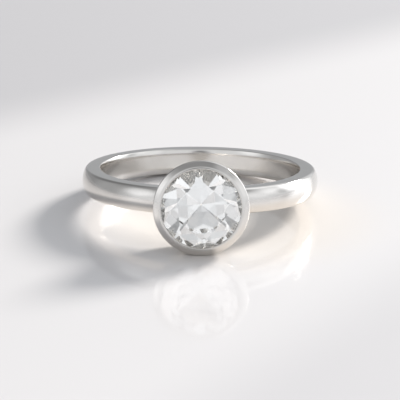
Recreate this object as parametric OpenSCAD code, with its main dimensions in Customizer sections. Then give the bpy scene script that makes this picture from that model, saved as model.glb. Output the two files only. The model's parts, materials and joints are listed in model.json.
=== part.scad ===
// Bezel-set ring with one round faceted stone, lying on its side the way it rests by itself.
// Millimetres. Z is up, the stone faces -Y and the floor is z = 0.
// The metal is one soldered solid: a comfort-fit band and a round cup with a turned-over rim.
// The stone is a solid of its own, held under the rim with a hair's breadth of clearance.

/* [Band] */
// radius of the wall that lies against the finger
finger_r = 8.5; // [7.5:0.1:11]
// width of the band along the finger
band_w = 2.2; // [2:0.1:3]
// thickness of the band at its crown
band_t = 1.6; // [1.4:0.1:2]
// radius of the domed outer surface across the band
dome_r = 2.0; // [1.8:0.1:3]
// rounding between the dome and the flat side faces
band_edge = 0.3; // [0.1:0.02:0.4]
// length of the straight part of the finger wall
wall_flat = 0.96; // [0.94:0.02:1.2]
// radius of the curve from the straight finger wall out to the side faces
relief_r = 2.06; // [1.4:0.02:3]
// rounding between the finger wall and the side faces
wall_edge = 0.06; // [0.03:0.01:0.1]

/* [Bezel] */
// outer radius of the bezel at its rim
rim_r = 4.0; // [3.95:0.05:4.4]
// height of the rim above the crown of the band
rim_rise = 2.41; // [2.2:0.01:2.8]
// rounding on the outside of the rim
rim_edge = 0.16; // [0.12:0.01:0.2]
// outward slope of the rim face, in degrees
rim_slope = 31; // [26:1:36]
// radius of the dome between the rim face and the lip
rim_dome_r = 0.5; // [0.4:0.02:0.6]
// rounding on the inside of the rim
lip_edge = 0.06; // [0.04:0.01:0.08]
// how far the rim reaches in over the girdle of the stone
lip_cover = 0.18; // [0.12:0.01:0.24]
// inward slope of the cup wall towards the band, in degrees
cup_taper = 11.5; // [9:0.5:13]
// depth of the cup's lower end below the crown of the band
cup_sink = 0.8; // [0.7:0.05:0.9]
// width of the cup wall at its lower end
cup_wall = 0.66; // [0.5:0.02:0.8]
// width of the seat under the stone
seat_w = 0.48; // [0.3:0.02:0.6]
// radius of the hole through the band below the stone
light_hole_r = 0.45; // [0.3:0.01:0.46]
// radius of the same hole where it opens under the stone
light_hole_top_r = 0.84; // [0.8:0.02:0.9]

/* [Stone] */
// radius of the stone at its girdle
stone_r = 3.5; // [3.4:0.05:3.55]
// height of the table above the rim of the bezel
table_rise = 0.59; // [0.4:0.01:0.8]
// radius of the table at its corners
table_r = 2.06; // [1.8:0.02:2.2]
// slope of the eight main crown facets, in degrees
crown_slope = 35; // [32:0.5:38]
// slope of the eight main pavilion facets, in degrees
pavilion_slope = 42.5; // [40:0.5:43]
// thickness of the girdle where the facets meet on it
girdle_t = 0.18; // [0.14:0.01:0.24]
// share of the crown width that the star facets take
star_share = 0.5; // [0.4:0.02:0.6]
// radius where neighbouring lower girdle facets end, as a share of the stone's
lower_share = 0.66; // [0.5:0.02:0.76]
// turn of the stone in its cup, in degrees
stone_turn = 28; // [0:1:44]
// clearance between the stone and the metal
stone_gap = 0.04; // [0.02:0.01:0.06]

/* [Hidden] */
$fn = 192;

// band section, with x as the distance from the finger axis and y along that axis
half_w = band_w / 2;
crown_r = finger_r + band_t;
dome_c = [crown_r - dome_r, 0];
edge_c = [
    dome_c[0] + sqrt(pow(dome_r - band_edge, 2) - pow(half_w - band_edge, 2)),
    half_w - band_edge
];
relief_w = half_w - wall_flat / 2;
relief_c = [finger_r + relief_r, wall_flat / 2];
wall_edge_c = [
    relief_c[0] - sqrt(pow(relief_r - wall_edge, 2) - pow(relief_w - wall_edge, 2)),
    half_w - wall_edge
];

// bezel section, with x as the distance from the stone's axis and y as the distance
// from the centre of the ring
rim_y = crown_r + rim_rise;
lip_r = stone_r - lip_cover;
lip_edge_c = [lip_r + lip_edge, rim_y - lip_edge];
rim_dome_c = [lip_edge_c[0], rim_y - rim_dome_r];
rim_across = rim_r - rim_edge - rim_dome_c[0];
rim_edge_c = [
    rim_r - rim_edge,
    rim_dome_c[1] + (rim_dome_r - rim_edge - rim_across * sin(rim_slope)) / cos(rim_slope)
];
edge_on_cup = rim_edge_c + 0.9998 * rim_edge * [cos(cup_taper), -sin(cup_taper)];
edge_on_face = rim_edge_c + 0.9998 * rim_edge * [sin(rim_slope), cos(rim_slope)];
dome_on_face = rim_dome_c + 0.9998 * rim_dome_r * [sin(rim_slope), cos(rim_slope)];
dome_end = rim_dome_c + 0.97 * rim_dome_r * [sin(rim_slope + 8), cos(rim_slope + 8)];
cup_y = crown_r - cup_sink;
cup_r = edge_on_cup[0] - (edge_on_cup[1] - cup_y) * tan(cup_taper);

// stone, with z = 0 in the middle of its girdle and the girdle drawn as 64 short sides
half_girdle = girdle_t / 2;
table_z = half_girdle + (stone_r - table_r) * tan(crown_slope);
girdle_y = rim_y + table_rise - table_z;
table_side_r = table_r * cos(22.5);
star_r = table_side_r + star_share * (stone_r - table_side_r);
star_z = table_z - (star_r * cos(22.5) - table_r) * tan(crown_slope);
girdle_side_r = stone_r * cos(11.25);
upper_slope = atan2(star_z - half_girdle, girdle_side_r - star_r * cos(11.25));
point_z = -half_girdle - stone_r * tan(pavilion_slope);
culet_r = 0.06;
culet_z = point_z + culet_r * cos(22.5) * tan(pavilion_slope);
lower_r = lower_share * stone_r;
lower_z = point_z + lower_r * cos(22.5) * tan(pavilion_slope);
lower_slope = atan2(-half_girdle - lower_z, girdle_side_r - lower_r * cos(11.25));

// where each ring of corners starts in the stone's list of points
TABLE = 0;
STAR = 8;
UPPER = 16;
LOWER = 80;
MAIN = 144;
CULET = 152;

// pocket in the metal around the edge of the stone
pocket_r = stone_r + stone_gap;
pocket_top = girdle_y + half_girdle + stone_gap;
pocket_bottom = girdle_y - half_girdle - stone_gap;
lip_y = pocket_top + (pocket_r - lip_r) * tan(upper_slope);
seat_r = pocket_r - seat_w;
seat_y = pocket_bottom - seat_w * tan(lower_slope);
cup_inner_r = cup_r - cup_wall;
bar_y = cup_y + 0.05;
hole_y = bar_y - (light_hole_top_r - light_hole_r);

// the angle at which the rim of the bezel and the back of the band both touch the floor
rest_reach = rim_edge_c[1] + edge_c[0];
rest_drop = rim_edge_c[0] - edge_c[1];
rest_tilt = atan2(rest_drop, rest_reach)
    + asin((rim_edge - band_edge) / norm([rest_reach, rest_drop]));
low = rim_edge_c[0] * cos(rest_tilt) + rim_edge - rim_edge_c[1] * sin(rest_tilt);
table_low = max([for (k = [0 : 7]) -sin(stone_turn + 45 * k) * table_r]);
front = (girdle_y + table_z) * cos(rest_tilt) + table_low * sin(rest_tilt);
back = dome_c[0] * cos(rest_tilt) + dome_r;

function flip(p) = [p[0], -p[1]];

function around(r, turn, z) = [r * cos(turn), r * sin(turn), z];

// how far the girdle's edge dips where a facet of this slope meets it, at corner j of 64
function dip(j, slope) = (stone_r * cos((j % 4 - 2) * 5.625) - girdle_side_r) * tan(slope);

module disc(c, r) {
    translate(c)
        circle(r = r);
}

// the part of a disc between the two rays from its centre c that pass through p and q
module arc_cap(c, r, p, q) {
    intersection() {
        disc(c, r);
        polygon([p, p + (p - c), q + (q - c), q]);
    }
}

module band_section() {
    translate([wall_edge_c[0], -half_w])
        square([edge_c[0] - wall_edge_c[0], band_w]);
    translate([finger_r, -wall_flat / 2])
        square([band_t / 2, wall_flat]);
    arc_cap(dome_c, dome_r, flip(edge_c), edge_c);
    for (side = [-1, 1]) {
        disc([edge_c[0], side * edge_c[1]], band_edge);
        disc([wall_edge_c[0], side * wall_edge_c[1]], wall_edge);
        arc_cap(
            [relief_c[0], side * relief_c[1]],
            relief_r,
            [wall_edge_c[0], side * wall_edge_c[1]],
            [wall_edge_c[0] + wall_edge, side * relief_c[1]]
        );
    }
}

module bezel_section() {
    polygon([
        [cup_inner_r, cup_y],
        [cup_r, cup_y],
        edge_on_cup,
        rim_edge_c,
        edge_on_face,
        dome_on_face,
        lip_edge_c,
        [lip_r, lip_edge_c[1]],
        [lip_r, lip_y],
        [pocket_r, pocket_top],
        [pocket_r, pocket_bottom],
        [seat_r, seat_y]
    ]);
    disc(rim_edge_c, rim_edge);
    disc(lip_edge_c, lip_edge);
    arc_cap(rim_dome_c, rim_dome_r, dome_end, lip_edge_c);
}

// room for the point of the stone: a flat floor across the band and a hole through it
module point_room() {
    mid_wall_r = (cup_inner_r + cup_r) / 2;
    rotate_extrude()
        polygon([
            [0, finger_r - 1],
            [light_hole_r, finger_r - 1],
            [light_hole_r, hole_y],
            [light_hole_top_r, bar_y],
            [mid_wall_r, bar_y],
            [mid_wall_r, rim_y],
            [0, rim_y]
        ]);
}

// turns a shape built along +Z so that it points out of the ring towards the stone
module towards_stone() {
    rotate([90, 0, 0])
        children();
}

// lays the ring down in its resting place
module at_rest() {
    translate([0, (front - back) / 2, low])
        rotate([-rest_tilt, 0, 0])
            children();
}

module band_with_bezel() {
    color([0.86, 0.85, 0.83])
        at_rest() {
            difference() {
                rotate_extrude()
                    band_section();
                towards_stone()
                    point_room();
            }
            towards_stone()
                rotate_extrude()
                    bezel_section();
        }
}

// round brilliant: table, 8 stars, 8 kites and 16 upper girdle facets above the girdle,
// 16 lower girdle facets and 8 mains below it, and a tiny culet
module brilliant() {
    corners = concat(
        [for (k = [0 : 7]) around(table_r, 45 * k, table_z)],
        [for (k = [0 : 7]) around(star_r, 45 * k + 22.5, star_z)],
        [for (j = [0 : 63]) around(stone_r, 5.625 * j, half_girdle - dip(j, upper_slope))],
        [for (j = [0 : 63]) around(stone_r, 5.625 * j, dip(j, lower_slope) - half_girdle)],
        [for (k = [0 : 7]) around(lower_r, 45 * k + 22.5, lower_z)],
        [for (k = [0 : 7]) around(culet_r, 45 * k + 22.5, culet_z)]
    );
    table = [for (k = [7 : -1 : 0]) TABLE + k];
    stars = [for (k = [0 : 7]) [TABLE + k, TABLE + (k + 1) % 8, STAR + k]];
    kites = [for (k = [0 : 7]) [TABLE + k, STAR + k, UPPER + 8 * k, STAR + (k + 7) % 8]];
    uppers = [
        for (k = [0 : 7], half = [0, 4])
            concat(STAR + k, [for (i = [4 : -1 : 0]) UPPER + (8 * k + half + i) % 64])
    ];
    girdle = [
        for (j = [0 : 63])
            [UPPER + j, UPPER + (j + 1) % 64, LOWER + (j + 1) % 64, LOWER + j]
    ];
    lowers = [
        for (k = [0 : 7], half = [0, 4])
            concat(MAIN + k, [for (i = [0 : 4]) LOWER + (8 * k + half + i) % 64])
    ];
    mains = [
        for (k = [0 : 7])
            [
                CULET + (k + 7) % 8,
                MAIN + (k + 7) % 8,
                LOWER + 8 * k,
                MAIN + k,
                CULET + k
            ]
    ];
    culet = [for (k = [0 : 7]) CULET + k];
    polyhedron(corners, concat([table], stars, kites, uppers, girdle, lowers, mains, [culet]));
}

module stone() {
    color([0.93, 0.96, 0.97])
        at_rest()
            towards_stone()
                translate([0, 0, girdle_y])
                    rotate([0, 0, stone_turn])
                        brilliant();
}

band_with_bezel();
stone();
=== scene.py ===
import json
import math
from collections import namedtuple

import bmesh
import bpy
from bpy.props import FloatProperty, FloatVectorProperty, IntProperty, PointerProperty
from mathutils import Matrix, Vector


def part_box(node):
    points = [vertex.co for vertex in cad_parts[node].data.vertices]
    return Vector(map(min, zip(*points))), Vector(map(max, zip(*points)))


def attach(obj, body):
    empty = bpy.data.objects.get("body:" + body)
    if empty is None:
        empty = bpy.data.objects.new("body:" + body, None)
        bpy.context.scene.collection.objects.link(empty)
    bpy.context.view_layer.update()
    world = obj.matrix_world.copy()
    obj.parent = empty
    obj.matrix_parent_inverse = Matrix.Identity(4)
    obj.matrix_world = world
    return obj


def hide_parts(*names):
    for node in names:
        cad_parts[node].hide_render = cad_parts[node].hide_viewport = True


bl_info = {
    "name": "Bezel Set Topaz Ring",
    "version": (1, 0, 0),
    "blender": (4, 5, 0),
    "location": "3D View > Sidebar > Ring",
    "description": "Builds a polished bezel ring with a round topaz around its packed solids",
    "category": "Add Mesh",
}

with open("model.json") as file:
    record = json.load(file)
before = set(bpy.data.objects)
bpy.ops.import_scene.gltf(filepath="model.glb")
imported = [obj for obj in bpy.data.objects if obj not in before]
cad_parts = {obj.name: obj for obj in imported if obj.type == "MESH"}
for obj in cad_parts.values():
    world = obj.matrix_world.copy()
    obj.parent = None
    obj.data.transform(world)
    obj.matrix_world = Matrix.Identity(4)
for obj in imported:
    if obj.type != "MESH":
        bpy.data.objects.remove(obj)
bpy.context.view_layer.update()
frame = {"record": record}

METAL_NODE = "band_with_bezel"
STONE_NODE = "stone"
BODY = "root"
MM = 0.001

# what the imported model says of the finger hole, the metal and the stone
BORE = next(m for m in frame["record"]["mounts"] if m["name"] == "finger_bore")
RING_CENTRE = Vector(BORE["pos_m"])
RING_TILT = math.atan2(BORE["axis"][1], BORE["axis"][2])
METAL_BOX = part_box(METAL_NODE)
STONE_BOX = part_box(STONE_NODE)
FINGER_RADIUS = BORE["dims"]["r_mm"] * MM
CROWN_RADIUS = METAL_BOX[1].x
STONE_RADIUS = STONE_BOX[1].x

# steps of the roundings
DOME_STEPS = 16
RIM_EDGE_STEPS = 12
EDGE_STEPS = 10
FINE_EDGE_STEPS = 6

# small sizes inside the cup and at the finger wall
BAR_FLOOR_RISE = 0.05 * MM
HOLE_OVERRUN = 1.0 * MM
OFF_AXIS = 0.001 * MM
BRIGHT_CUT_INSET = 0.15 * MM
FINGER_WALL_REACH = 0.02 * MM

# facets of a round brilliant: 8 mains, with corners half a step and a quarter step from them
MAINS = 8
STEP = 2 * math.pi / MAINS
HALF_STEP = STEP / 2
QUARTER_STEP = STEP / 4
GIRDLE_STEPS = 128
CULET_CUT = 0.05 * MM

# turn in radians of the cylinder that the stone is cut from, so that its edges meet no facet's
# corner
CYLINDER_TURN = 0.011

# tolerances of cutting and welding the stone, in metres
CUT_TOLERANCE = 1e-9
WELD_DISTANCE = 1e-8

# circle that the sections are swept along, and the least angle of a sharp edge
RAIL_RADIUS = 5.0 * MM
SHARP_ANGLE = math.radians(28)


# Sizes and finishes

def length(name, description, default):
    return FloatProperty(
        name=name,
        description=description,
        default=default,
        min=0.0,
        precision=6,
        subtype="DISTANCE",
        unit="LENGTH",
    )


def angle(name, description, degrees):
    return FloatProperty(
        name=name,
        description=description,
        default=math.radians(degrees),
        subtype="ANGLE",
        unit="ROTATION",
    )


def share(name, description, default):
    return FloatProperty(
        name=name, description=description, default=default, min=0.0, max=1.0, subtype="FACTOR"
    )


def plain(name, description, default):
    return FloatProperty(name=name, description=description, default=default)


def count(name, description, default):
    return IntProperty(name=name, description=description, default=default, min=24)


def colour(name, description, default):
    return FloatVectorProperty(
        name=name,
        description=description,
        default=default,
        size=3,
        min=0.0,
        max=1.0,
        subtype="COLOR",
    )


class BandSizes(bpy.types.PropertyGroup):
    """Sizes of the band"""

    finger_radius: length("Finger Radius", "Wall that lies against the finger", FINGER_RADIUS)
    crown_radius: length("Crown Radius", "Crown of the domed outside", CROWN_RADIUS)
    width: length("Width", "Width of the band along the finger", 2.2 * MM)
    dome_radius: length("Dome Radius", "Curve of the outside across the band", 2.0 * MM)
    edge_radius: length("Edge Radius", "Rounding between dome and side faces", 0.3 * MM)
    wall_flat: length("Straight Wall", "Straight part of the finger wall", 0.96 * MM)
    relief_radius: length("Relief Radius", "Curve from the wall to the side faces", 2.06 * MM)
    wall_edge_radius: length("Wall Edge", "Rounding of the wall's edges", 0.06 * MM)
    steps: count("Steps", "Steps around the band", 400)


class BezelSizes(bpy.types.PropertyGroup):
    """Sizes of the bezel, its rim and its light hole"""

    rim_radius: length("Rim Radius", "Outer radius at the rim", 4.0 * MM)
    rim_rise: length("Rim Rise", "Height of the rim above the crown of the band", 2.41 * MM)
    rim_edge_radius: length("Rim Edge", "Rounding on the outside of the rim", 0.16 * MM)
    rim_slope: angle("Rim Slope", "Outward slope of the rim face", 31.0)
    rim_dome_radius: length("Rim Dome", "Curve from the rim face to the lip", 0.5 * MM)
    lip_edge_radius: length("Lip Edge", "Rounding on the inside of the rim", 0.06 * MM)
    lip_cover: length("Lip Cover", "Reach of the rim over the girdle", 0.18 * MM)
    cup_taper: angle("Cup Taper", "Inward slope of the cup wall", 11.5)
    cup_sink: length("Cup Sink", "Depth of the cup's end below the crown", 0.8 * MM)
    cup_wall: length("Cup Wall", "Width of the cup wall at its end", 0.66 * MM)
    seat_width: length("Seat Width", "Width of the seat under the stone", 0.48 * MM)
    light_hole_radius: length("Light Hole", "Hole through the band", 0.45 * MM)
    light_hole_top_radius: length("Light Hole Top", "The hole where it opens", 0.84 * MM)
    steps: count("Steps", "Steps around the bezel", 256)


class StoneSizes(bpy.types.PropertyGroup):
    """Sizes and slopes of the stone"""

    radius: length("Radius", "Radius at the girdle", STONE_RADIUS)
    table_rise: length("Table Rise", "Height of the table above the rim", 0.59 * MM)
    table_radius: length("Table Radius", "Radius of the table at its corners", 2.06 * MM)
    crown_slope: angle("Crown Slope", "Slope of the main crown facets", 35.0)
    pavilion_slope: angle("Pavilion Slope", "Slope of the main pavilion facets", 42.5)
    girdle: length("Girdle", "Thickness of the girdle", 0.18 * MM)
    star_share: share("Star Share", "Share of the crown that the stars take", 0.5)
    lower_share: share("Lower Share", "Where the lower facets end", 0.66)
    turn: angle("Turn", "Turn of the stone in its cup", 28.0)
    gap: length("Gap", "Clearance between stone and metal", 0.04 * MM)


class Finishes(bpy.types.PropertyGroup):
    """Colours and polish of the ring and the floor"""

    metal: colour("Metal", "Colour of the polished silver", (0.715, 0.69, 0.66))
    metal_shade: colour("Metal Shade", "Colour where polish is thinner", (0.675, 0.65, 0.62))
    metal_roughness: share("Metal Roughness", "Roughness of the clean polish", 0.03)
    wall_roughness: share("Wall Roughness", "Roughness against the finger", 0.18)
    bright_cut: colour("Bright Cut", "Colour inside the cup", (0.74, 0.74, 0.735))
    bright_cut_shade: colour("Bright Cut Shade", "Its dimmer marks", (0.68, 0.68, 0.675))
    stone: colour("Stone", "Colour of the stone", (0.995, 0.985, 0.965))
    stone_index: plain("Stone Index", "Index of refraction of the stone", 1.75)
    floor: colour("Floor", "Colour of the floor", (0.775, 0.76, 0.765))
    # painted warm bounce light: the floor is tinted warmer near the ring in place of light off the
    # metal
    floor_painted_bounce: colour("Painted Bounce Light", "Colour of the floor near the ring", (0.8, 0.755, 0.71))
    # painted shade: the floor's colour behind at the left and ahead at the right, where light falls
    # off
    floor_painted_shade: colour("Painted Floor Shade", "Colour of the floor's dimmer parts", (0.57, 0.56, 0.575))
    floor_gloss: share("Floor Gloss", "Strength of the clear reflection in the floor", 0.75)
    floor_roughness: share("Floor Roughness", "Roughness of the floor's sheen", 0.16)


class StageSettings(bpy.types.PropertyGroup):
    """Camera, floor and lights"""

    distance: length("Distance", "From the camera to the middle of the ring", 305.3 * MM)
    elevation: angle("Elevation", "Height of the camera above the floor", 18.72)
    azimuth: angle("Azimuth", "Turn of the camera around the ring", -0.598)
    roll: angle("Roll", "Lean of the camera", 0.565)
    aim_below: angle("Aim Below", "How far the camera looks below the ring", 0.325)
    lens: plain("Lens", "Focal length in millimetres on a 36 mm sensor", 319.98)
    floor_size: length("Floor Size", "Side of the floor", 4.0)
    surround: plain("Surround", "Brightness of the grey surround", 0.36)
    surround_colour: colour("Surround Colour", "Tint of the surround", (0.94, 0.965, 1.0))
    key_colour: colour("Key Colour", "Tint of the key light", (1.0, 0.965, 0.92))
    key_power: plain("Key Power", "Power of the key light in watts", 14.7)
    key_azimuth: angle("Key Azimuth", "Key light's turn from behind towards the right", 47.0)
    key_elevation: angle("Key Elevation", "Height of the key light", 27.3)
    key_width: length("Key Width", "Diameter of the key light", 0.27)
    key_distance: length("Key Distance", "From the key light to the ring", 1.0)


# Places that the stone and the bezel share, measured from the ring's centre or the girdle

def table_height(stone):
    return stone.girdle / 2 + (stone.radius - stone.table_radius) * math.tan(stone.crown_slope)


def point_depth(stone):
    """Depth at which the mains would meet, below the middle of the girdle."""
    return stone.girdle / 2 + stone.radius * math.tan(stone.pavilion_slope)


def girdle_height(band, bezel, stone):
    """From the ring's centre to the middle of the girdle."""
    return band.crown_radius + bezel.rim_rise + stone.table_rise - table_height(stone)


def star_corner(stone):
    """Radius and height of the corner between a star and two kites."""
    side = stone.table_radius * math.cos(HALF_STEP)
    radius = side + stone.star_share * (stone.radius - side)
    drop = radius * math.cos(HALF_STEP) - stone.table_radius
    return radius, table_height(stone) - drop * math.tan(stone.crown_slope)


def upper_slope(stone):
    """Slope of the upper girdle facets."""
    radius, height = star_corner(stone)
    across = (stone.radius - radius) * math.cos(QUARTER_STEP)
    return math.atan2(height - stone.girdle / 2, across)


def lower_corner(stone):
    """Radius and height of the corner between two mains and two lower facets."""
    radius = stone.lower_share * stone.radius
    rise = radius * math.cos(HALF_STEP) * math.tan(stone.pavilion_slope)
    return radius, rise - point_depth(stone)


def lower_slope(stone):
    """Slope of the lower girdle facets."""
    radius, height = lower_corner(stone)
    across = (stone.radius - radius) * math.cos(QUARTER_STEP)
    return math.atan2(-stone.girdle / 2 - height, across)


def pocket_heights(band, bezel, stone):
    """Bottom and top of the groove for the girdle, and the lower end of the lip above it."""
    girdle = girdle_height(band, bezel, stone)
    reach = stone.girdle / 2 + stone.gap
    lip_rise = (stone.gap + bezel.lip_cover) * math.tan(upper_slope(stone))
    return girdle - reach, girdle + reach, girdle + reach + lip_rise


def at_rest():
    """From the ring's own axes to its resting place."""
    return Matrix.Translation(RING_CENTRE) @ Matrix.Rotation(-RING_TILT, 4, "X")


def towards_stone():
    """From a shape turned around +Z to one that points out of the ring at the stone."""
    return Matrix.Rotation(math.radians(90), 4, "X")


# Outlines of the turned metal, as points in metres

def arc(centre, radius, start, end, steps):
    """Points on a circle from one angle to another, both in degrees."""
    turns = [math.radians(start + (end - start) * i / steps) for i in range(steps + 1)]
    return [(centre[0] + radius * math.cos(a), centre[1] + radius * math.sin(a)) for a in turns]


def direction(start, end):
    return math.degrees(math.atan2(end[1] - start[1], end[0] - start[0]))


def band_outline(band):
    """Section of the band, with x from the finger's axis and y along it."""
    dome = (band.crown_radius - band.dome_radius, 0.0)
    edge_y = band.width / 2 - band.edge_radius
    edge_reach = band.dome_radius - band.edge_radius
    edge = (dome[0] + math.sqrt(edge_reach**2 - edge_y**2), edge_y)
    relief = (band.finger_radius + band.relief_radius, band.wall_flat / 2)
    wall_y = band.width / 2 - band.wall_edge_radius
    wall_reach = band.relief_radius - band.wall_edge_radius
    wall = (relief[0] - math.sqrt(wall_reach**2 - (wall_y - relief[1]) ** 2), wall_y)
    dome_end = direction(dome, edge)
    relief_end = direction(relief, wall)
    upper = arc(dome, band.dome_radius, 0, dome_end, DOME_STEPS)[1:-1]
    upper += arc(edge, band.edge_radius, dome_end, 90, EDGE_STEPS)
    upper += arc(wall, band.wall_edge_radius, 90, relief_end, FINE_EDGE_STEPS)
    upper += arc(relief, band.relief_radius, relief_end, 180, DOME_STEPS)[1:]
    lower = [(x, -y) for x, y in reversed(upper)]
    return [(band.crown_radius, 0.0)] + upper + lower


def rim_circles(band, bezel, stone):
    """Centres of the lip's rounding, the rim's dome and the outer rounding."""
    rim_y = band.crown_radius + bezel.rim_rise
    lip = (stone.radius - bezel.lip_cover + bezel.lip_edge_radius, rim_y - bezel.lip_edge_radius)
    dome = (lip[0], rim_y - bezel.rim_dome_radius)
    edge_x = bezel.rim_radius - bezel.rim_edge_radius
    reach = bezel.rim_dome_radius - bezel.rim_edge_radius
    rise = (reach - (edge_x - dome[0]) * math.sin(bezel.rim_slope)) / math.cos(bezel.rim_slope)
    return lip, dome, (edge_x, dome[1] + rise)


def cup_foot(band, bezel, stone):
    """Outer radius and height of the cup's lower end."""
    edge = rim_circles(band, bezel, stone)[2]
    wall_top = arc(edge, bezel.rim_edge_radius, -math.degrees(bezel.cup_taper), 0, 1)[0]
    foot_y = band.crown_radius - bezel.cup_sink
    return wall_top[0] - (wall_top[1] - foot_y) * math.tan(bezel.cup_taper), foot_y


def bezel_outline(band, bezel, stone):
    """Section of the bezel, with x from the stone's axis and y from the ring's centre."""
    lip, dome, edge = rim_circles(band, bezel, stone)
    foot_x, foot_y = cup_foot(band, bezel, stone)
    pocket_bottom, pocket_top, lip_y = pocket_heights(band, bezel, stone)
    cup = -math.degrees(bezel.cup_taper)
    face = 90 - math.degrees(bezel.rim_slope)
    pocket_x = stone.radius + stone.gap
    seat_y = pocket_bottom - bezel.seat_width * math.tan(lower_slope(stone))
    outside = [(foot_x - bezel.cup_wall, foot_y), (foot_x, foot_y)]
    outside += arc(edge, bezel.rim_edge_radius, cup, face, RIM_EDGE_STEPS)
    outside += arc(dome, bezel.rim_dome_radius, face, 90, EDGE_STEPS)
    outside += arc(lip, bezel.lip_edge_radius, 90, 180, FINE_EDGE_STEPS)[1:]
    inside = [
        (stone.radius - bezel.lip_cover, lip_y),
        (pocket_x, pocket_top),
        (pocket_x, pocket_bottom),
        (pocket_x - bezel.seat_width, seat_y),
    ]
    return outside + inside


def room_outline(band, bezel, stone):
    """Section of the space for the stone's point: a flat floor across the band and a hole."""
    foot_x, foot_y = cup_foot(band, bezel, stone)
    floor_y = foot_y + BAR_FLOOR_RISE
    hole_y = floor_y - (bezel.light_hole_top_radius - bezel.light_hole_radius)
    wall_x = foot_x - bezel.cup_wall / 2
    low_y = band.finger_radius - HOLE_OVERRUN
    high_y = band.crown_radius + bezel.rim_rise
    return [
        (OFF_AXIS, low_y),
        (bezel.light_hole_radius, low_y),
        (bezel.light_hole_radius, hole_y),
        (bezel.light_hole_top_radius, floor_y),
        (wall_x, floor_y),
        (wall_x, high_y),
        (OFF_AXIS, high_y),
    ]


# Node trees

def named_tree(name, kind, inputs, outputs):
    """A node group with named sockets, each with its type."""
    tree = bpy.data.node_groups.new(name, kind)
    for way, sockets in (("INPUT", inputs), ("OUTPUT", outputs)):
        for socket, socket_type in sockets.items():
            tree.interface.new_socket(socket, in_out=way, socket_type="NodeSocket" + socket_type)
    return tree


def add_node(tree, kind, inputs, **settings):
    """A new node. Each input is linked to the socket or set to the value that it is given."""
    made = tree.nodes.new(kind)
    for setting, value in settings.items():
        setattr(made, setting, value)
    for socket, value in inputs.items():
        if isinstance(value, bpy.types.NodeSocket):
            tree.links.new(value, made.inputs[socket])
        else:
            made.inputs[socket].default_value = value
    return made


def eased(tree, value, start, end, full=1.0):
    """A smooth step from 0 where the value is at start to full where it is at end."""
    inputs = {"Value": value, "From Min": start, "From Max": end, "To Max": full}
    step = add_node(tree, "ShaderNodeMapRange", inputs, interpolation_type="SMOOTHSTEP")
    return step.outputs["Result"]


def spread(tree, mask, low, high):
    """A number that follows a mask from low to high."""
    inputs = {"Value": mask, "To Min": low, "To Max": high}
    return add_node(tree, "ShaderNodeMapRange", inputs).outputs["Result"]


def mixed(tree, mask, first, second):
    """A colour that follows a mask from the first to the second."""
    inputs = {"Factor": mask, "A": first, "B": second}
    return add_node(tree, "ShaderNodeMix", inputs, data_type="RGBA").outputs["Result"]


# Metal

def closed_curve(name, points):
    """A curve object through the points, laid so that it turns into a solid around +Z."""
    curve = bpy.data.curves.new(name, "CURVE")
    curve.dimensions = "3D"
    line = curve.splines.new("POLY")
    line.points.add(len(points) - 1)
    for spot, (x, y) in zip(line.points, reversed(points)):
        spot.co = (x, -y, 0.0, 1.0)
    line.use_cyclic_u = True
    thing = bpy.data.objects.new(name, curve)
    bpy.context.scene.collection.objects.link(thing)
    return thing


def turned_section(tree, section, steps):
    """Nodes that turn a section curve around Z. Gives the mesh output."""
    info = add_node(tree, "GeometryNodeObjectInfo", {"Object": section}, transform_space="ORIGINAL")
    shift = {"Geometry": info.outputs["Geometry"], "Translation": (-RAIL_RADIUS, 0.0, 0.0)}
    move = add_node(tree, "GeometryNodeTransform", shift)
    round_rail = {"Radius": RAIL_RADIUS, "Resolution": steps}
    rail = add_node(tree, "GeometryNodeCurvePrimitiveCircle", round_rail)
    sweep = {"Curve": rail.outputs["Curve"], "Profile Curve": move.outputs["Geometry"]}
    return add_node(tree, "GeometryNodeCurveToMesh", sweep).outputs["Mesh"]


def pointed_section(tree, section, steps):
    """A turned section whose axis points out of the ring at the stone."""
    mesh = turned_section(tree, section, steps)
    lean = {"Geometry": mesh, "Rotation": towards_stone().to_euler()}
    return add_node(tree, "GeometryNodeTransform", lean).outputs["Geometry"]


def metal_tree():
    """Turns the band and the bezel, cuts the room for the stone's point and solders the two."""
    inputs = {
        "Band Section": "Object",
        "Bezel Section": "Object",
        "Room Section": "Object",
        "Band Steps": "Int",
        "Bezel Steps": "Int",
        "Finish": "Material",
    }
    tree = named_tree("Soldered Ring", "GeometryNodeTree", inputs, {"Geometry": "Geometry"})
    given = tree.nodes.new("NodeGroupInput").outputs
    band = turned_section(tree, given["Band Section"], given["Band Steps"])
    bezel = pointed_section(tree, given["Bezel Section"], given["Bezel Steps"])
    room = pointed_section(tree, given["Room Section"], given["Bezel Steps"])
    both = {"Mesh 1": band, "Mesh 2": room}
    cut = add_node(tree, "GeometryNodeMeshBoolean", both, operation="DIFFERENCE", solver="MANIFOLD")
    solder = add_node(tree, "GeometryNodeMeshBoolean", {}, operation="UNION", solver="MANIFOLD")
    for mesh in (cut.outputs["Mesh"], bezel):
        tree.links.new(mesh, solder.inputs["Mesh 2"])
    real = add_node(tree, "GeometryNodeRealizeInstances", {"Geometry": solder.outputs["Mesh"]})
    dress = {"Geometry": real.outputs["Geometry"], "Material": given["Finish"]}
    finish = add_node(tree, "GeometryNodeSetMaterial", dress)
    add_node(tree, "NodeGroupOutput", {"Geometry": finish.outputs["Geometry"]})
    return tree


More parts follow.
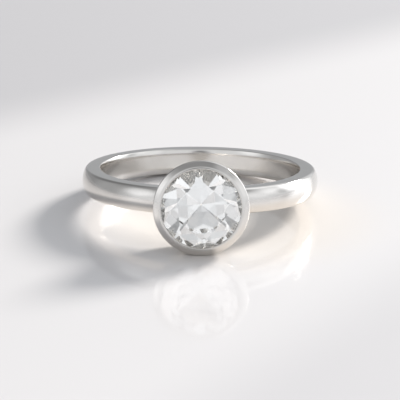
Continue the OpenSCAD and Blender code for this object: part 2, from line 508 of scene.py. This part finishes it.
def grown(name, tree, values):
    """A plain mesh object made by a node tree from the values of its named inputs."""
    thing = bpy.data.objects.new(name, bpy.data.meshes.new(name))
    bpy.context.scene.collection.objects.link(thing)
    modifier = thing.modifiers.new("Make", "NODES")
    modifier.node_group = tree
    sockets = {s.name: s.identifier for s in tree.interface.items_tree if s.in_out == "INPUT"}
    for socket, value in values.items():
        modifier[sockets[socket]] = value
    bpy.context.view_layer.update()
    graph = bpy.context.evaluated_depsgraph_get()
    mesh = bpy.data.meshes.new_from_object(thing.evaluated_get(graph), depsgraph=graph)
    thing.modifiers.remove(modifier)
    thing.data = mesh
    mesh.name = name
    return thing


def finish_inside(mesh, band, bezel, stone):
    """Second material inside the cup, third one on the straight wall against the finger."""
    foot_x, foot_y = cup_foot(band, bezel, stone)
    lip_y = pocket_heights(band, bezel, stone)[2]
    for face in mesh.polygons:
        reach = -face.center.y
        from_stone_axis = math.hypot(face.center.x, face.center.z)
        from_finger_axis = math.hypot(face.center.x, face.center.y)
        wall_x = foot_x + (reach - foot_y) * math.tan(bezel.cup_taper) - BRIGHT_CUT_INSET
        if foot_y < reach < lip_y and from_stone_axis < wall_x:
            face.material_index = 1
        if from_finger_axis < band.finger_radius + FINGER_WALL_REACH:
            face.material_index = 2


def seat_piece(piece, node):
    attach(piece, BODY)
    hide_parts(node)


# Stone

def facet(mesh, slope, turn, radius, height):
    """Cuts the solid with one sloping plane that passes radius out and height up."""
    normal = Vector((0.0, 0.0, 1.0))
    normal.rotate(Matrix.Rotation(slope, 3, "Y"))
    normal.rotate(Matrix.Rotation(turn, 3, "Z"))
    cut = bmesh.ops.bisect_plane(
        mesh,
        geom=mesh.verts[:] + mesh.edges[:] + mesh.faces[:],
        dist=CUT_TOLERANCE,
        plane_co=Vector((radius * math.cos(turn), radius * math.sin(turn), height)),
        plane_no=normal,
        clear_outer=True,
    )
    rim = [e for e in cut["geom_cut"] if isinstance(e, bmesh.types.BMEdge)]
    if rim:
        bmesh.ops.edgenet_fill(mesh, edges=rim)


def topaz_mesh(stone):
    """A round brilliant around the origin, with its table up and its girdle at z = 0."""
    half = stone.girdle / 2
    top = table_height(stone)
    point = point_depth(stone)
    star_radius, star_height = star_corner(stone)
    table_side = stone.table_radius * math.cos(HALF_STEP)
    girdle_side = stone.radius * math.cos(QUARTER_STEP)
    star_slope = math.atan2(top - star_height, star_radius - table_side)
    mesh = bmesh.new()
    bmesh.ops.create_cone(
        mesh,
        cap_ends=True,
        segments=GIRDLE_STEPS,
        radius1=stone.radius,
        radius2=stone.radius,
        depth=2 * point,
    )
    bmesh.ops.rotate(mesh, verts=mesh.verts[:], matrix=Matrix.Rotation(CYLINDER_TURN, 3, "Z"))
    facet(mesh, 0.0, 0.0, 0.0, top)
    for k in range(MAINS):
        turn = STEP * k
        facet(mesh, stone.crown_slope, turn, stone.radius, half)
        facet(mesh, star_slope, turn + HALF_STEP, table_side, top)
        facet(mesh, math.pi - stone.pavilion_slope, turn, 0.0, -point)
    for k in range(2 * MAINS):
        turn = HALF_STEP * k + QUARTER_STEP
        facet(mesh, upper_slope(stone), turn, girdle_side, half)
        facet(mesh, math.pi - lower_slope(stone), turn, girdle_side, -half)
    facet(mesh, math.pi, 0.0, 0.0, CULET_CUT - point)
    result = bpy.data.meshes.new(STONE_NODE)
    bmesh.ops.remove_doubles(mesh, verts=mesh.verts[:], dist=WELD_DISTANCE)
    bmesh.ops.recalc_face_normals(mesh, faces=mesh.faces[:])
    mesh.to_mesh(result)
    mesh.free()
    return result


# Materials

def new_material(name, inputs):
    """A material and its shader, some inputs of which are set."""
    material = bpy.data.materials.new(name)
    material.use_nodes = True
    tree = material.node_tree
    tree.nodes.clear()
    shader = add_node(tree, "ShaderNodeBsdfPrincipled", inputs)
    add_node(tree, "ShaderNodeOutputMaterial", {"Surface": shader.outputs["BSDF"]})
    return material, shader


def wear_group():
    """Fine handling marks: a mask of faint scratches and a height for them."""
    name = "Handling Marks"
    known = bpy.data.node_groups.get(name)
    if known:
        return known
    inputs = {"Position": "Vector", "Scale": "Float"}
    tree = named_tree(name, "ShaderNodeTree", inputs, {"Mask": "Float", "Height": "Float"})
    given = tree.nodes.new("NodeGroupInput").outputs
    place = {0: given["Position"], "Scale": given["Scale"]}
    scaled = add_node(tree, "ShaderNodeVectorMath", place, operation="SCALE").outputs["Vector"]
    soft = {"Vector": scaled, "Scale": 1.0, "Detail": 4.0, "Distortion": 0.8}
    cloud = add_node(tree, "ShaderNodeTexNoise", soft).outputs["Fac"]
    fine = {"Vector": scaled, "Scale": 9.0, "Detail": 6.0, "Roughness": 0.7}
    lines = add_node(tree, "ShaderNodeTexNoise", fine).outputs["Fac"]
    both = add_node(tree, "ShaderNodeMath", {0: cloud, 1: lines}, operation="MULTIPLY")
    stretch = {"Value": both.outputs["Value"], "From Min": 0.15, "From Max": 0.45}
    mask = add_node(tree, "ShaderNodeMapRange", stretch).outputs["Result"]
    add_node(tree, "NodeGroupOutput", {"Mask": mask, "Height": lines})
    return tree


def marks(tree, grain):
    """The mask and the height of the handling marks, with the size of their grain."""
    place = tree.nodes.new("ShaderNodeTexCoord").outputs["Object"]
    inputs = {"Position": place, "Scale": 1.0 / grain}
    return add_node(tree, "ShaderNodeGroup", inputs, node_tree=wear_group()).outputs


def silver(name, colours, roughness, grain, depth):
    """A silver whose tone, roughness and height follow its fine marks.

    colours and roughness hold the clean value and the marked one. The bump node is given too,
    so that a slower wave can go under the marks.
    """
    material, shader = new_material(name, {"Metallic": 1.0})
    tree = material.node_tree
    wear = marks(tree, grain)
    clean, marked = [(*tone, 1.0) for tone in colours]
    relief = {"Strength": 0.4, "Distance": depth, "Height": wear["Height"]}
    fine = add_node(tree, "ShaderNodeBump", relief)
    tree.links.new(mixed(tree, wear["Mask"], clean, marked), shader.inputs["Base Color"])
    tree.links.new(spread(tree, wear["Mask"], *roughness), shader.inputs["Roughness"])
    tree.links.new(fine.outputs["Normal"], shader.inputs["Normal"])
    return material, fine


def polished_silver(finish):
    """The worn bright polish, on a surface that waves a little from filing."""
    clean = finish.metal_roughness
    material, fine = silver(
        "polished_silver",
        colours=(finish.metal, finish.metal_shade),
        roughness=(clean, clean + 0.05),
        grain=1.4 * MM,
        depth=0.00125 * MM,
    )
    tree = material.node_tree
    place = tree.nodes.new("ShaderNodeTexCoord").outputs["Object"]
    slow = {"Vector": place, "Scale": 1.0 / (2.4 * MM), "Detail": 1.0}
    wave = add_node(tree, "ShaderNodeTexNoise", slow).outputs["Fac"]
    relief = {"Strength": 1.0, "Distance": 0.02 * MM, "Height": wave}
    filed = add_node(tree, "ShaderNodeBump", relief)
    tree.links.new(filed.outputs["Normal"], fine.inputs["Normal"])
    return material


def finger_wall_silver(finish):
    """The wall against the finger, worn to a softer shine."""
    clean = finish.wall_roughness
    return silver(
        "finger_wall_silver",
        colours=(finish.metal, finish.metal_shade),
        roughness=(clean, clean + 0.08),
        grain=1.0 * MM,
        depth=0.002 * MM,
    )[0]


def bright_cut_silver(finish):
    """The seat and the room under the stone, cut bright with a graver."""
    return silver(
        "bright_cut_silver",
        colours=(finish.bright_cut, finish.bright_cut_shade),
        roughness=(0.22, 0.34),
        grain=0.6 * MM,
        depth=0.004 * MM,
    )[0]


def topaz(finish):
    """Clear stone with faint polishing marks."""
    clear = {
        "Base Color": (*finish.stone, 1.0),
        "Transmission Weight": 1.0,
        "IOR": finish.stone_index,
    }
    material, shader = new_material("topaz", clear)
    tree = material.node_tree
    wear = marks(tree, grain=0.9 * MM)
    tree.links.new(spread(tree, wear["Mask"], low=0.0, high=0.02), shader.inputs["Roughness"])
    return material


# painted shade on each dim side of the floor, as light falling off past a bright band: a vector
# across it, and the dot products of a place with that vector where the shade starts and is full
SHADE_BEHIND = ((0.79, -1.0, 0.0), -31.0 * MM, -48.0 * MM)
SHADE_AHEAD = ((1.71, -1.0, 0.0), 30.0 * MM, 54.0 * MM)
SHADE_AHEAD_STRENGTH = 0.55

# painted warm bounce light by the ring: its middle, and the distances where it is gone and full
BOUNCE_MIDDLE = (3.0 * MM, -2.0 * MM, 0.0)
BOUNCE_GONE = 15.0 * MM
BOUNCE_FULL = 6.0 * MM


def painted_shade_fade(tree, place, side):
    """A soft step of painted shade over the floor towards one of its dim sides."""
    across, start, end = side
    along = add_node(tree, "ShaderNodeVectorMath", {0: place, 1: across}, operation="DOT_PRODUCT")
    return eased(tree, along.outputs["Value"], start, end)


def pale_floor(finish):
    """A pale coated floor: painted warm bounce light by the ring, painted shade behind and ahead.
    """
    glossy = {
        "Roughness": finish.floor_roughness,
        "Coat Weight": finish.floor_gloss,
        "Coat Roughness": 0.02,
        "Specular IOR Level": 0.2,
    }
    material, shader = new_material("pale_floor", glossy)
    tree = material.node_tree
    place = tree.nodes.new("ShaderNodeTexCoord").outputs["Object"]
    # painted shade: the floor darkens behind at the left and ahead at the right
    dim = {0: painted_shade_fade(tree, place, SHADE_AHEAD), 1: SHADE_AHEAD_STRENGTH, 2: painted_shade_fade(tree, place, SHADE_BEHIND)}
    shade = add_node(tree, "ShaderNodeMath", dim, operation="MULTIPLY_ADD").outputs["Value"]
    # painted warm bounce light: the floor turns warmer near the ring
    patch = {0: place, 1: BOUNCE_MIDDLE}
    reach = add_node(tree, "ShaderNodeVectorMath", patch, operation="DISTANCE").outputs["Value"]
    near = eased(tree, reach, BOUNCE_GONE, BOUNCE_FULL)
    warm = mixed(tree, near, (*finish.floor, 1.0), (*finish.floor_painted_bounce, 1.0))
    tint = mixed(tree, shade, warm, (*finish.floor_painted_shade, 1.0))
    tree.links.new(tint, shader.inputs["Base Color"])
    return material


# Stage

# a light on the surround: azimuth from +Y towards +X and elevation of its middle, the angle from
# there inside which it is full and the one past which it is gone, in degrees, and its strength
SoftBox = namedtuple("SoftBox", "azimuth elevation inner outer strength")
FRONT_GLOW = SoftBox(175, 8, 65, 100, 0.62)
SOFT_BOXES = {
    "window": SoftBox(64, 18, 11, 27, 1.3),
    "low window": SoftBox(52, 2, 7, 17, 0.6),
    "high window": SoftBox(62, 52, 14, 26, 0.4),
    "window glow": SoftBox(55, 32, 35, 56, 0.55),
    "right": SoftBox(118, 20, 8, 20, 0.17),
    "front right": SoftBox(138, 46, 5, 16, 0.25),
    "left": SoftBox(246, 23, 8, 22, 0.3),
    "low left": SoftBox(280, 2, 14, 34, 0.12),
    "right shade": SoftBox(90, 13, 3, 12, -0.35),
    "top": SoftBox(290, 79, 5, 22, 0.25),
    "camera shade": SoftBox(181, 14, 1, 16, -0.75),
    "back low": SoftBox(2, 0, 8, 20, 0.12),
    "back shade": SoftBox(322, 36, 10, 34, -0.12),
}

# elevations where the front glow is gone and up to which it is full, in degrees
GLOW_GONE = 52
GLOW_FULL = 18


def towards(azimuth, elevation):
    """Unit vector to a direction in degrees, with azimuth from +Y towards +X."""
    turn, lift = math.radians(azimuth), math.radians(elevation)
    across = math.cos(lift)
    return Vector((across * math.sin(turn), across * math.cos(turn), math.sin(lift)))


def soft_box_group():
    """A round soft light painted on the surround: full inside one angle, gone past another."""
    inputs = {
        "Direction": "Vector",
        "Towards": "Vector",
        "Inner": "Float",
        "Outer": "Float",
        "Strength": "Float",
    }
    tree = named_tree("Soft Box", "ShaderNodeTree", inputs, {"Light": "Float"})
    given = tree.nodes.new("NodeGroupInput").outputs
    both = {0: given["Direction"], 1: given["Towards"]}
    facing = add_node(tree, "ShaderNodeVectorMath", both, operation="DOT_PRODUCT").outputs["Value"]
    turn = add_node(tree, "ShaderNodeMath", {0: facing}, operation="ARCCOSINE").outputs["Value"]
    light = eased(tree, turn, given["Outer"], given["Inner"], given["Strength"])
    add_node(tree, "NodeGroupOutput", {"Light": light})
    return tree


def soft_box(tree, group, place, name, box):
    """The light of one soft box or shade in the direction that place gives."""
    inputs = {
        "Direction": place,
        "Towards": towards(box.azimuth, box.elevation),
        "Inner": math.radians(box.inner),
        "Outer": math.radians(box.outer),
        "Strength": box.strength,
    }
    return add_node(tree, "ShaderNodeGroup", inputs, node_tree=group, name=name).outputs["Light"]


def soft_surround(stage):
    """A studio surround: bright in front, dim behind at the left, with soft boxes and shades."""
    world = bpy.data.worlds.new("Soft Surround")
    bpy.context.scene.world = world
    world.use_nodes = True
    tree = world.node_tree
    tree.nodes.clear()
    place = tree.nodes.new("ShaderNodeTexCoord").outputs["Generated"]
    group = soft_box_group()
    height = add_node(tree, "ShaderNodeSeparateXYZ", {"Vector": place}).outputs["Z"]
    gone, full = [math.sin(math.radians(elevation)) for elevation in (GLOW_GONE, GLOW_FULL)]
    low = eased(tree, height, gone, full)
    front = soft_box(tree, group, place, "front glow", FRONT_GLOW)
    glow = {0: front, 1: low, 2: stage.surround}
    light = add_node(tree, "ShaderNodeMath", glow, operation="MULTIPLY_ADD").outputs["Value"]
    for name, box in SOFT_BOXES.items():
        more = soft_box(tree, group, place, name, box)
        light = add_node(tree, "ShaderNodeMath", {0: light, 1: more}).outputs["Value"]
    lit = {"Color": (*stage.surround_colour, 1.0), "Strength": light}
    back = add_node(tree, "ShaderNodeBackground", lit)
    add_node(tree, "ShaderNodeOutputWorld", {"Surface": back.outputs["Background"]})


def key_light(stage):
    """A round lamp behind the ring at the right, which throws its shadow."""
    light = bpy.data.lights.new("key", "AREA")
    light.shape = "DISK"
    light.size = stage.key_width
    light.energy = stage.key_power
    light.color = stage.key_colour
    lamp = bpy.data.objects.new("key", light)
    bpy.context.scene.collection.objects.link(lamp)
    way = towards(math.degrees(stage.key_azimuth), math.degrees(stage.key_elevation))
    turn = way.to_track_quat("Z", "Y").to_matrix().to_4x4()
    lamp.matrix_world = Matrix.Translation(way * stage.key_distance) @ turn


def camera(stage):
    """Looks at the ring from the photograph's side, a little below its middle."""
    data = bpy.data.cameras.new("camera")
    data.sensor_width = 36.0
    data.lens = stage.lens
    data.clip_start = 0.01
    data.clip_end = 20.0
    eye = bpy.data.objects.new("camera", data)
    bpy.context.scene.collection.objects.link(eye)
    turn = Matrix.Rotation(stage.azimuth, 4, "Z")
    lift = Matrix.Rotation(math.radians(90) - stage.elevation, 4, "X")
    look = turn @ lift
    back = look.to_3x3() @ Vector((0.0, 0.0, 1.0))
    lean = Matrix.Rotation(stage.roll, 4, "Z") @ Matrix.Rotation(-stage.aim_below, 4, "X")
    eye.matrix_world = Matrix.Translation(RING_CENTRE + back * stage.distance) @ look @ lean
    bpy.context.scene.camera = eye


# Operators

class RING_OT_stage(bpy.types.Operator):
    """Lays the floor, the surround, the key light and the camera"""

    bl_idname = "ring.stage"
    bl_label = "Lay Stage"

    def execute(self, context):
        scene = context.scene
        half = scene.ring_stage.floor_size / 2
        square = [(-half, -half, 0), (half, -half, 0), (half, half, 0), (-half, half, 0)]
        mesh = bpy.data.meshes.new("floor")
        mesh.from_pydata(square, [], [(0, 1, 2, 3)])
        mesh.materials.append(pale_floor(scene.ring_finish))
        floor = bpy.data.objects.new("floor", mesh)
        scene.collection.objects.link(floor)
        soft_surround(scene.ring_stage)
        key_light(scene.ring_stage)
        camera(scene.ring_stage)
        scene.view_settings.view_transform = "Standard"
        scene.cycles.max_bounces = 24
        scene.cycles.glossy_bounces = 16
        scene.cycles.transmission_bounces = 20
        return {"FINISHED"}


class RING_OT_metal(bpy.types.Operator):
    """Turns and solders the band and the bezel"""

    bl_idname = "ring.metal"
    bl_label = "Make Band and Bezel"

    def execute(self, context):
        scene = context.scene
        finish = scene.ring_finish
        band, bezel, stone = scene.ring_band, scene.ring_bezel, scene.ring_stone
        sections = {
            "Band Section": closed_curve("band_section", band_outline(band)),
            "Bezel Section": closed_curve("bezel_section", bezel_outline(band, bezel, stone)),
            "Room Section": closed_curve("room_section", room_outline(band, bezel, stone)),
        }
        values = {
            **sections,
            "Band Steps": band.steps,
            "Bezel Steps": bezel.steps,
            "Finish": polished_silver(finish),
        }
        piece = grown("polished_" + METAL_NODE, metal_tree(), values)
        for section in sections.values():
            bpy.data.objects.remove(section)
        if not piece.data.polygons:
            raise RuntimeError("the band and the bezel came out empty")
        piece.data.materials.append(bright_cut_silver(finish))
        piece.data.materials.append(finger_wall_silver(finish))
        finish_inside(piece.data, band, bezel, stone)
        piece.data.transform(at_rest())
        piece.data.shade_smooth()
        piece.data.set_sharp_from_angle(angle=SHARP_ANGLE)
        seat_piece(piece, METAL_NODE)
        return {"FINISHED"}


class RING_OT_topaz(bpy.types.Operator):
    """Cuts the round stone"""

    bl_idname = "ring.topaz"
    bl_label = "Cut Topaz"

    def execute(self, context):
        scene = context.scene
        stone = scene.ring_stone
        mesh = topaz_mesh(stone)
        height = girdle_height(scene.ring_band, scene.ring_bezel, stone)
        lift = Matrix.Translation((0.0, 0.0, height)) @ Matrix.Rotation(stone.turn, 4, "Z")
        mesh.transform(at_rest() @ towards_stone() @ lift)
        mesh.materials.append(topaz(scene.ring_finish))
        piece = bpy.data.objects.new("cut_" + STONE_NODE, mesh)
        scene.collection.objects.link(piece)
        seat_piece(piece, STONE_NODE)
        return {"FINISHED"}


class RING_PT_panel(bpy.types.Panel):
    bl_idname = "RING_PT_panel"
    bl_label = "Topaz Ring"
    bl_space_type = "VIEW_3D"
    bl_region_type = "UI"
    bl_category = "Ring"

    def draw(self, context):
        column = self.layout.column()
        for operator in OPERATORS:
            column.operator(operator.bl_idname)


GROUPS = {
    "ring_band": BandSizes,
    "ring_bezel": BezelSizes,
    "ring_stone": StoneSizes,
    "ring_finish": Finishes,
    "ring_stage": StageSettings,
}
OPERATORS = (RING_OT_stage, RING_OT_metal, RING_OT_topaz)


def register():
    for item in (*GROUPS.values(), *OPERATORS, RING_PT_panel):
        bpy.utils.register_class(item)
    for name, group in GROUPS.items():
        setattr(bpy.types.Scene, name, PointerProperty(type=group))


def unregister():
    for name in GROUPS:
        delattr(bpy.types.Scene, name)
    for item in (RING_PT_panel, *reversed(OPERATORS), *reversed(GROUPS.values())):
        bpy.utils.unregister_class(item)


def main():
    register()
    bpy.ops.ring.stage()
    bpy.ops.ring.metal()
    bpy.ops.ring.topaz()


if __name__ == "__main__":
    main()
